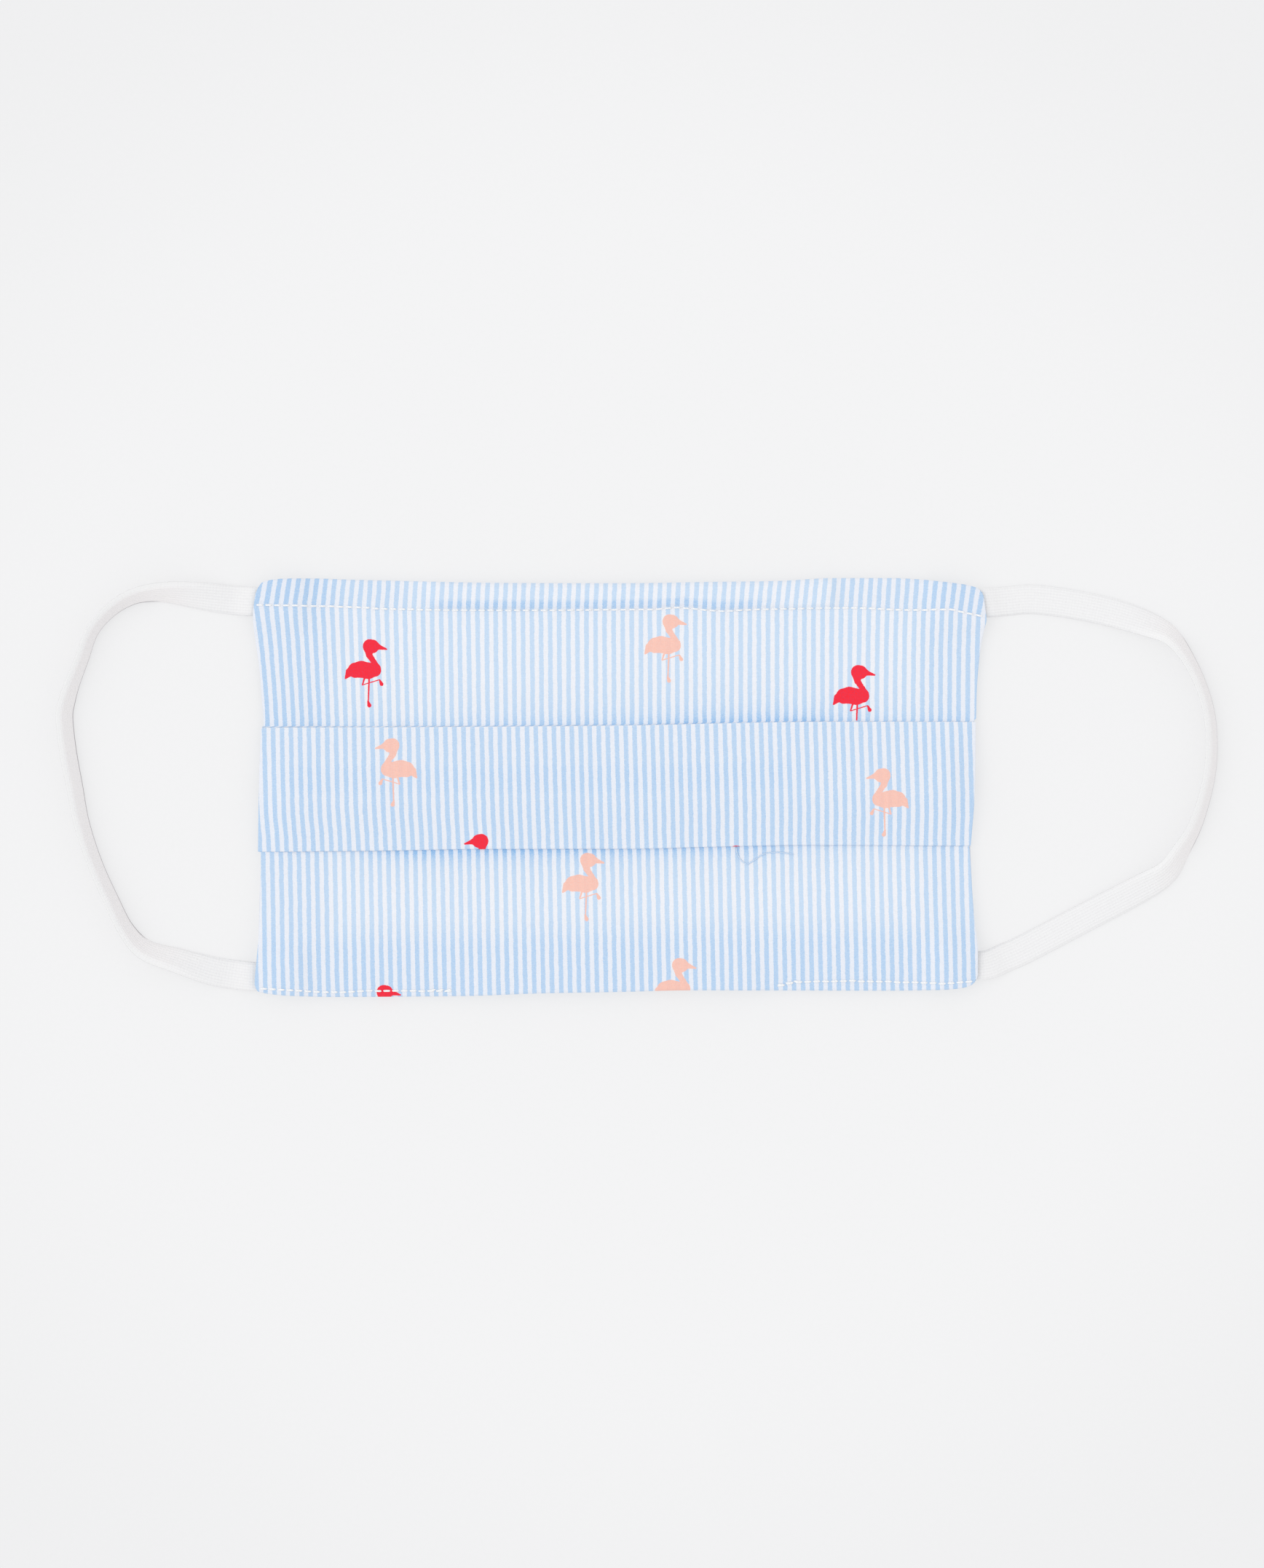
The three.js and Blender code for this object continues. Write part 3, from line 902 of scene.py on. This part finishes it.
class Graph:
    """Short names for the nodes of one material."""

    def __init__(self, tree):
        self.tree = tree

    def node(self, kind, **settings):
        made = self.tree.nodes.new(kind)
        for key, value in settings.items():
            setattr(made, key, value)
        return made

    def feed(self, socket, value):
        if isinstance(value, bpy.types.NodeSocket):
            self.tree.links.new(value, socket)
        else:
            socket.default_value = value

    def math(self, operation, *values, clamp=False):
        made = self.node("ShaderNodeMath", operation=operation, use_clamp=clamp)
        for socket, value in zip(made.inputs, values):
            self.feed(socket, value)
        return made.outputs[0]

    def vector(self, operation, *values):
        made = self.node("ShaderNodeVectorMath", operation=operation)
        for socket, value in zip(made.inputs, values):
            self.feed(socket, value)
        return made.outputs["Value"] if operation in ("DOT_PRODUCT", "LENGTH") else made.outputs[0]

    def scale(self, vector, factor):
        made = self.node("ShaderNodeVectorMath", operation="SCALE")
        self.feed(made.inputs[0], vector)
        self.feed(made.inputs["Scale"], factor)
        return made.outputs[0]

    def uv(self, name):
        return self.node("ShaderNodeUVMap", uv_map=name).outputs[0]

    def split(self, vector):
        made = self.node("ShaderNodeSeparateXYZ")
        self.feed(made.inputs[0], vector)
        return made.outputs

    def noise(self, vector, scale, detail=2.0, roughness=0.5):
        made = self.node("ShaderNodeTexNoise")
        self.feed(made.inputs["Vector"], vector)
        made.inputs["Scale"].default_value = scale
        made.inputs["Detail"].default_value = detail
        made.inputs["Roughness"].default_value = roughness
        return made.outputs[0]

    def ramp(self, value, low, high, to_low=0.0, to_high=1.0, smooth=True):
        made = self.node("ShaderNodeMapRange", interpolation_type="SMOOTHSTEP" if smooth else "LINEAR")
        for key, number in (("Value", value), ("From Min", low), ("From Max", high),
                            ("To Min", to_low), ("To Max", to_high)):
            self.feed(made.inputs[key], number)
        return made.outputs[0]

    def blend(self, factor, a, b):
        made = self.node("ShaderNodeMix", data_type="RGBA")
        self.feed(made.inputs[0], factor)
        for socket, value in ((made.inputs[6], a), (made.inputs[7], b)):
            self.feed(socket, value)
        return made.outputs[2]

    def bump(self, height, distance, strength=1.0, normal=None):
        made = self.node("ShaderNodeBump")
        self.feed(made.inputs["Height"], height)
        made.inputs["Distance"].default_value = distance
        made.inputs["Strength"].default_value = strength
        if normal is not None:
            self.feed(made.inputs["Normal"], normal)
        return made.outputs[0]

    def finish(self, colour, normal, roughness, sheen=0.0):
        shader = self.node("ShaderNodeBsdfPrincipled")
        self.feed(shader.inputs["Base Color"], colour)
        self.feed(shader.inputs["Normal"], normal)
        self.feed(shader.inputs["Roughness"], roughness)
        shader.inputs["Specular IOR Level"].default_value = 0.18
        shader.inputs["Sheen Weight"].default_value = sheen
        shader.inputs["Sheen Roughness"].default_value = 0.5
        output = self.node("ShaderNodeOutputMaterial")
        self.feed(output.inputs["Surface"], shader.outputs[0])


def linear(red, green, blue):
    """A screen colour of 0 to 255 as linear light."""
    def one(c):
        c /= 255
        return c / 12.92 if c <= 0.04045 else ((c + 0.055) / 1.055) ** 2.4
    return one(red), one(green), one(blue), 1.0


PAPER = 0.9                    # share of light that the brightest surface gives back


def tint(red, green, blue):
    return tuple(c * PAPER for c in linear(red, green, blue)[:3]) + (1.0,)


# a wading bird looking to the right: two ends of each stroke with their radii
BIRD_STROKES = [
    ((1.15, 6.55), 1.7, (1.7, 6.5), 1.66),
    ((2.9, 6.45), 0.85, (3.8, 6.2), 0.5),
    ((3.8, 6.2), 0.5, (5.1, 5.85), 0.2),
    ((0.85, 6.0), 1.2, (1.0, 4.4), 0.76),
    ((1.0, 4.4), 0.74, (2.2, 2.6), 0.64),
    ((2.2, 2.6), 0.64, (2.65, 1.4), 1.05),
    ((-2.3, 0.8), 1.85, (-0.9, 1.0), 2.0),
    ((-0.9, 1.0), 2.0, (0.8, 0.65), 1.95),
    ((0.8, 0.65), 1.95, (2.3, 0.75), 1.55),
    ((-3.7, 0.25), 1.08, (-4.7, -1.15), 0.22),
    ((0.96, -1.2), 0.22, (0.75, -6.9), 0.16),
    ((0.7, -6.7), 0.22, (1.0, -7.65), 0.5),
    ((-0.1, -1.0), 0.25, (-0.65, -2.7), 0.17),
    ((-0.65, -2.75), 0.13, (3.4, -1.5), 0.13),
    ((3.5, -1.6), 0.2, (3.95, -2.55), 0.46),
]


def bird_distance(g, point):
    """Distance in millimetres from the edge of the bird, below zero inside it."""
    whole = None
    for (ax, ay), ra, (bx, by), rb in BIRD_STROKES:
        along = (bx - ax, by - ay)
        square = along[0] ** 2 + along[1] ** 2
        off = g.vector("SUBTRACT", point, (ax, ay, 0))
        share = g.vector("DOT_PRODUCT", off, (along[0] / square, along[1] / square, 0))
        share = g.math("ADD", share, 0.0, clamp=True)
        near = g.vector("MULTIPLY_ADD", share, (-along[0], -along[1], 0), off)
        radius = g.math("MULTIPLY_ADD", share, rb - ra, ra)
        away = g.math("SUBTRACT", g.vector("LENGTH", near), radius)
        thin = max(ra, rb) < 0.7
        if whole is None:
            whole = away
        elif thin:
            whole = g.math("MINIMUM", whole, away)
        else:
            whole = g.math("SMOOTH_MIN", whole, away, 0.3)
    return whole


def cotton_stripe(g, cloth, ragged):
    """1 on a blue stripe and 0 between two, wavering a little."""
    across, _, _ = g.split(cloth)
    waver = g.math("MULTIPLY", g.math("SUBTRACT", g.noise(cloth, 0.35, 1.0), 0.5), 0.25)
    moved = g.math("ADD", g.math("ADD", across, ragged), waver)
    turn = g.math("MULTIPLY", g.math("SUBTRACT", moved, STRIPE_START), 2 * math.pi / STRIPE_PITCH)
    return g.ramp(g.math("COSINE", turn), -0.3, 0.24)


def cotton_ground(g, cloth, depth, stripe):
    """Blue and white, both deeper where more cloth lies underneath and where shade is painted next to
    the folds.
    """
    plies_and_shade = g.math("MULTIPLY", depth, 1 / MOST_DEPTH)
    pale_blue = g.blend(plies_and_shade, tint(199, 222, 246), tint(136, 187, 236))
    speck = g.ramp(g.noise(cloth, 2.7, 3.0, 0.65), 0.3, 0.75)
    blue = g.blend(g.math("MULTIPLY", speck, 0.42), pale_blue, tint(221, 233, 247))
    white = g.blend(plies_and_shade, tint(241, 243, 249), tint(226, 234, 248))
    return g.blend(stripe, white, blue)


def printed_birds(g, ground, ink, grain, ragged):
    red = g.blend(g.ramp(grain, 0.35, 0.75), tint(255, 40, 56), tint(230, 62, 88))
    pink = g.blend(g.ramp(grain, 0.35, 0.8), tint(255, 195, 176), tint(248, 207, 194))
    edge = g.math("ADD", bird_distance(g, g.uv("bird")), g.math("MULTIPLY", ragged, 0.45))
    printed = g.ramp(edge, 0.07, -0.07)
    cover = g.math("MULTIPLY", printed, g.ramp(ink, 0.0, 1.0, 0.93, 1.0, smooth=False))
    return g.blend(cover, ground, g.blend(ink, pink, red))


def striped_cotton():
    material, tree = new_material("striped_cotton")
    g = Graph(tree)
    cloth = g.uv("cloth")
    ink, depth, _ = g.split(g.uv("tone"))
    # threads: fine noise drawn out along each of the two directions
    warp = g.noise(g.vector("MULTIPLY", cloth, (3.4, 0.8, 1.0)), 1.0, 2.0)
    weft = g.noise(g.vector("MULTIPLY", cloth, (0.9, 3.2, 1.0)), 1.0, 2.0)
    weave = g.math("ADD", g.math("MULTIPLY", warp, 0.5), g.math("MULTIPLY", weft, 0.5))
    grain = g.noise(cloth, 3.6, 2.0, 0.6)
    ragged = g.math("MULTIPLY", g.math("SUBTRACT", grain, 0.5), 0.46)
    ground = cotton_ground(g, cloth, depth, cotton_stripe(g, cloth, ragged))
    colour = printed_birds(g, ground, ink, grain, ragged)
    shade = g.ramp(weave, 0.3, 0.7, 0.965, 1.035, smooth=False)
    # painted light: where the depth falls below 0, at the edge of the upper fold, the colour is
    # lightened
    painted_edge_light = g.ramp(depth, -0.5, 0.1, 1.1, 1.0)
    colour = g.scale(colour, g.math("MULTIPLY", shade, painted_edge_light))
    nap = g.bump(weave, 0.00022, 0.7)
    nap = g.bump(grain, 0.00012, 0.5, nap)
    g.finish(colour, nap, g.ramp(grain, 0.2, 0.8, 0.86, 0.97), sheen=0.12)
    return material


RIBS_TURN = 9.0                # radians of the ribs and rows in each millimetre
LOOPS_TURN = 8.3


def knit_height(g, cloth):
    """Ribs along the band, rows of loops across it, and fuzz."""
    across, along, _ = g.split(cloth)
    fuzz = g.noise(cloth, 3.0, 3.0, 0.6)
    uneven = g.math("ADD", across, g.math("MULTIPLY", fuzz, 0.1))
    ribs = g.math("SINE", g.math("MULTIPLY", uneven, RIBS_TURN))
    loops = g.math("SINE", g.math("MULTIPLY", along, LOOPS_TURN))
    height = g.math("ADD", g.math("MULTIPLY", ribs, 0.5), g.math("MULTIPLY", loops, 0.22))
    return g.math("ADD", height, g.math("MULTIPLY", fuzz, 1.1))


def knitted_elastic():
    """White where it lies flat, a little darker where the knit is low; where it stands, painted light
    and shade: a lighter face greying towards its lower edge, a painted shade on the raised rim and a
    painted shadow along the lower edge.
    """
    material, tree = new_material("knitted_elastic")
    g = Graph(tree)
    cloth = g.uv("cloth")
    across, _, _ = g.split(cloth)
    lean, shade_from, _ = g.split(g.uv("lean"))
    height = knit_height(g, cloth)
    standing = g.ramp(lean, 0.25, 1.05)
    # painted shade: the knit is a little darker where it lies low
    lying = g.blend(g.ramp(height, -0.6, 1.5), tint(241, 240, 241), tint(247, 247, 247))
    # painted light and shade on the standing band: lighter at its raised edge, greyer towards its
    # lower side
    leaning_lit_and_shaded = g.blend(g.ramp(across, 3.2, shade_from), tint(253, 252, 252), tint(248, 245, 245))
    colour = g.blend(standing, lying, leaning_lit_and_shaded)
    # painted shade on the raised rim, where the light would give a bright edge
    rim_shade = g.math("MULTIPLY", g.ramp(across, 2.7, 3.3), standing)
    colour = g.blend(g.math("MULTIPLY", rim_shade, 0.8), colour, tint(240, 240, 240))
    # painted shadow: a dark line along the lower edge where the standing band meets the floor
    low_edge_shadow = g.math("MULTIPLY", g.ramp(across, -2.3, -2.7), g.ramp(lean, 0.9, 1.03))
    colour = g.blend(g.math("MULTIPLY", low_edge_shadow, 0.92), colour, tint(170, 166, 169))
    g.finish(colour, g.bump(height, 0.00007, 0.8), 0.9, sheen=0.15)
    return material


def sewing_thread(name, colour):
    material, tree = new_material(name)
    g = Graph(tree)
    spot = g.node("ShaderNodeTexCoord").outputs["Object"]
    twist = g.node("ShaderNodeTexWave", bands_direction="DIAGONAL")
    g.feed(twist.inputs["Vector"], spot)
    twist.inputs["Scale"].default_value = 900.0
    twist.inputs["Distortion"].default_value = 1.0
    shade = g.blend(g.math("MULTIPLY", twist.outputs["Fac"], 0.5), tint(*colour), tint(236, 239, 244))
    g.finish(shade, g.bump(twist.outputs["Fac"], 0.00005, 0.6), 0.6, sheen=0.1)
    return material


def coated_wire():
    material, tree = new_material("coated_wire")
    g = Graph(tree)
    spot = g.node("ShaderNodeTexCoord").outputs["Object"]
    haze = g.noise(spot, 400.0, 2.0)
    colour = g.blend(haze, tint(222, 223, 224), tint(236, 236, 235))
    g.finish(colour, g.bump(haze, 0.00003, 0.3), 0.42)
    return material


def lit_table():
    """A white sheet lit through from below, a little brighter round the mask."""
    material, tree = new_material("lit_table")
    g = Graph(tree)
    spot = g.node("ShaderNodeTexCoord").outputs["Object"]
    tooth = g.noise(spot, 900.0, 2.0)
    near = g.ramp(g.vector("LENGTH", spot), 0.24, 0.13)
    glow = g.blend(near, linear(238, 238, 239), linear(244, 244, 245))
    paper = g.node("ShaderNodeBsdfDiffuse")
    g.feed(paper.inputs["Color"], g.blend(tooth, linear(138, 138, 138), linear(141, 141, 141)))
    light = g.node("ShaderNodeEmission")
    g.feed(light.inputs["Color"], glow)
    light.inputs["Strength"].default_value = 0.68
    both = g.node("ShaderNodeAddShader")
    g.feed(both.inputs[0], paper.outputs[0])
    g.feed(both.inputs[1], light.outputs[0])
    output = g.node("ShaderNodeOutputMaterial")
    g.feed(output.inputs["Surface"], both.outputs[0])
    return material


def put_on(piece, material):
    piece.data.materials.clear()
    piece.data.materials.append(material)


# pieces
cotton = striped_cotton()
elastic = knitted_elastic()
white_thread = sewing_thread("white_thread", (255, 255, 255))
blue_thread = sewing_thread("blue_thread", (190, 218, 246))

FRONT_STEP = 0.8               # millimetres between the cross sections of a sheet
BACK_STEP = 1.6
front = cloth_sheet("front_cloth_sewn", front_rows, FRONT_STEP, True)
back = cloth_sheet("back_cloth_sewn", back_rows, BACK_STEP, False)
for piece, node in ((front, "front_cloth"), (back, "back_cloth")):
    put_on(piece, cotton)
    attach(piece, "root")
    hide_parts(node)

# node, side, reach, route, sewn ends, and where across the standing band the painted shade is full
EAR_LOOPS = [
    ("ear_loop_left", -1, REACH_LEFT, LEFT_BAND, (SEWN_ENDS[0][1], SEWN_ENDS[1][1]), 1.6),
    ("ear_loop_right", 1, REACH_RIGHT, RIGHT_BAND, (SEWN_ENDS[2][1], SEWN_ENDS[3][1]), 0.3),
]
for name, side, reach, table, ends, shade_from in EAR_LOOPS:
    loop = ear_loop(name + "_band", side, reach, table, ends, shade_from)
    put_on(loop, elastic)
    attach(loop, "root")
    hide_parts(name)

# where the lines of stitches end at the sides, and in pixels where they leave the slot open
NOSE_SEAM_ENDS = (-87.2, 87.4)
CHIN_SEAM_ENDS = (-86.2, 85.0)
SLOT_PIXELS = (622, 1066)
on_front = surface_of(front)
slot_left, slot_right = (place(pixel, 0)[0] for pixel in SLOT_PIXELS)
nose_runs = stitch_runs(on_front, "seam", *NOSE_SEAM_ENDS, wander=0.1)
nose_stitches = tube_mesh("nose_stitches", nose_runs, STITCH_THREAD)
chin_left, chin_right = CHIN_SEAM_ENDS
chin_runs = stitch_runs(on_front, "chin_seam", chin_left, slot_left, wander=0.12)
chin_runs += stitch_runs(on_front, "chin_seam", slot_right, chin_right, wander=0.2)
chin_runs += backtack_runs(on_front, slot_left, -1) + backtack_runs(on_front, slot_right, 1)
chin_stitches = tube_mesh("chin_stitches", chin_runs, STITCH_THREAD)
for piece in (nose_stitches, chin_stitches):
    put_on(piece, white_thread)
    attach(piece, "root")

# a loose end of thread that hangs out of the lower fold
LOOSE_END = [
    (1011, 1163), (1012, 1171), (1017, 1180), (1026, 1186), (1037, 1180), (1050, 1172),
    (1068, 1170), (1090, 1173),
]
loose_points = [(*place(*pixel), 0.0, 0.0) for pixel in LOOSE_END]
loose_route, _ = smooth_route(loose_points, LOOSE_STEPS)
loose_run = [Vector((x, y, on_front(x, y) + LOOSE_RISE)) for x, y, *_ in loose_route]
loose_thread = tube_mesh("loose_thread", [loose_run], LOOSE_THREAD)
put_on(loose_thread, blue_thread)
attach(loose_thread, "root")

for node in bpy.data.objects:
    if node.type == "MESH" and node.name == "nose_wire":
        put_on(node, coated_wire())

# floor, light and camera
bpy.ops.mesh.primitive_plane_add(size=4.0, location=(0, 0, 0))
floor = bpy.context.active_object
floor.name = "floor"
put_on(floor, lit_table())



def light_room():
    """An even pale sky and one very broad light from the left."""
    world = bpy.data.worlds.new("studio")
    bpy.context.scene.world = world
    world.use_nodes = True
    sky = world.node_tree.nodes["Background"]
    sky.inputs["Color"].default_value = (0.99, 0.993, 1.0, 1.0)
    sky.inputs["Strength"].default_value = 1.0
    key = bpy.data.lights.new("key", "SUN")
    key.energy = 0.46
    key.angle = math.radians(50)
    key.color = (1.0, 0.998, 0.99)
    key_object = bpy.data.objects.new("key", key)
    bpy.context.scene.collection.objects.link(key_object)
    light_from = Vector((-0.62, 0.1, 0.85))
    key_object.rotation_euler = light_from.to_track_quat("Z", "Y").to_euler()


def set_camera(height):
    """A camera with the photograph's frame, straight above its middle, height in metres."""
    data = bpy.data.cameras.new("camera")
    camera = bpy.data.objects.new("camera", data)
    bpy.context.scene.collection.objects.link(camera)
    view_height = FRAME_PIXELS[1] * PIXEL * MM
    middle_x, middle_y = place(FRAME_PIXELS[0] / 2, FRAME_PIXELS[1] / 2)
    camera.location = (middle_x * MM, middle_y * MM, height)
    data.sensor_width = 36.0
    data.lens = data.sensor_width * height / view_height
    data.clip_start = 0.01
    bpy.context.scene.camera = camera


CAMERA_HEIGHT = 1.5
light_room()
set_camera(CAMERA_HEIGHT)
bpy.context.scene.view_settings.view_transform = "Standard"
